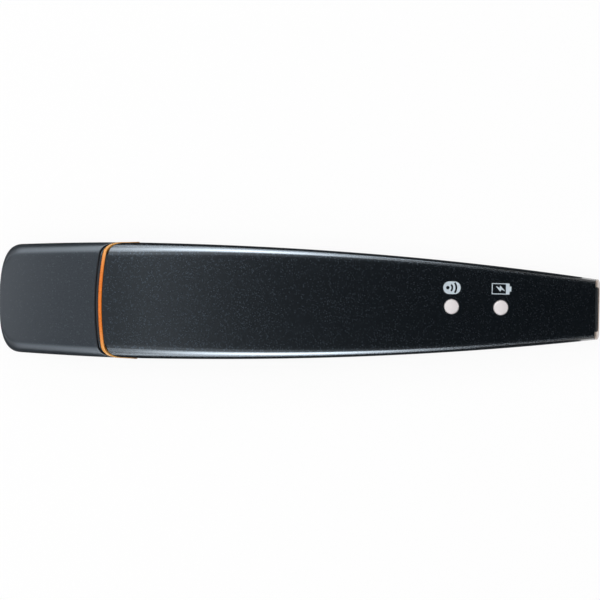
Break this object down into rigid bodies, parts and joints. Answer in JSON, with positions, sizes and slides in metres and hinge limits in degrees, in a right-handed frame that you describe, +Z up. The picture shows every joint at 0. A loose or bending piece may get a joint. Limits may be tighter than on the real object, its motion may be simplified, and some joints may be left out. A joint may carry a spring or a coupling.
{
  "type": "scanning pen",
  "caption": "Slim hand-held scanning pen: a tapering casing, a pull-off cap over a sprung roller and lens head, status lights on top and a charging port in the tail.",
  "frame": {"origin": "on the plane of the underside, half way along the pen and on its centre line", "axes": "+X along the pen from the cap to the tail, +Y across it, +Z up through the face with the lights"},
  "size_m": [0.14, 0.0274, 0.018],
  "materials": {
    "soft_touch": "soft-touch coat with a fine flake grain",
    "satin_black": "satin coat with a fine flake grain",
    "gloss_black": "polished",
    "orange": "semi-gloss",
    "warm_metal": "fine satin, warm tone",
    "matt_black": "matt moulding",
    "steel": "plain",
    "spring_steel": "drawn wire",
    "circuit": "coated board",
    "chip_black": "matt moulding",
    "clear_plate": "polished",
    "light_white": "translucent, satin",
    "pouch_silver": "laminated foil",
    "foam": "closed-cell foam",
    "soft_rubber": "matt",
    "red_lead": "smooth insulation",
    "amber_film": "smooth film"
  },
  "bodies": {
    "pen": {"nose_housing": "gloss_black", "accent_ring": "orange", "top_shell": "satin_black", "bottom_shell": "satin_black", "radio_light_lens": "light_white", "charge_light_lens": "light_white", "radio_light": "light_white", "charge_light": "light_white", "screw_front_left": "steel", "screw_front_right": "steel", "screw_middle": "steel", "screw_rear": "steel", "scan_window": "clear_plate", "trigger_spring_left": "spring_steel", "trigger_spring_right": "spring_steel", "lens_holder": "matt_black", "scan_lens": "gloss_black", "head_board": "circuit", "image_sensor": "chip_black", "trigger_switch": "chip_black", "lamp_left": "light_white", "lamp_right": "light_white", "main_board": "circuit", "battery_pad": "foam", "battery": "pouch_silver", "processor": "chip_black", "memory_chip": "chip_black", "radio_module": "steel", "head_flex": "amber_film", "battery_plug": "light_white", "battery_lead_positive": "red_lead", "battery_lead_negative": "soft_rubber", "flex_socket": "matt_black", "rear_bezel": "warm_metal", "port_insert": "matt_black", "charging_socket": "steel", "socket_tongue": "matt_black"},
    "cap": {"cap": "soft_touch"},
    "trigger": {"trigger_carriage": "matt_black", "encoder_sensor": "chip_black"},
    "roller": {"tracking_roller": "soft_rubber", "roller_axle": "steel", "encoder_disc": "steel"}
  },
  "joints": [
    {"name": "cap_slide", "type": "slide", "parent": "pen", "child": "cap", "axis": [-1, 0, 0], "range_m": [0, 0.034]},
    {"name": "trigger_press", "type": "slide", "parent": "pen", "child": "trigger", "axis": [1, 0, 0], "range_m": [0, 0.0012], "stiffness_N_per_m": 400, "springref_m": -0.002, "deforming": ["trigger_spring_left", "trigger_spring_right"]},
    {"name": "roller_spin", "type": "hinge", "parent": "trigger", "child": "roller", "pos_m": [-0.06272, 0, 0.0067], "axis": [0, 1, 0], "continuous": true}
  ]
}
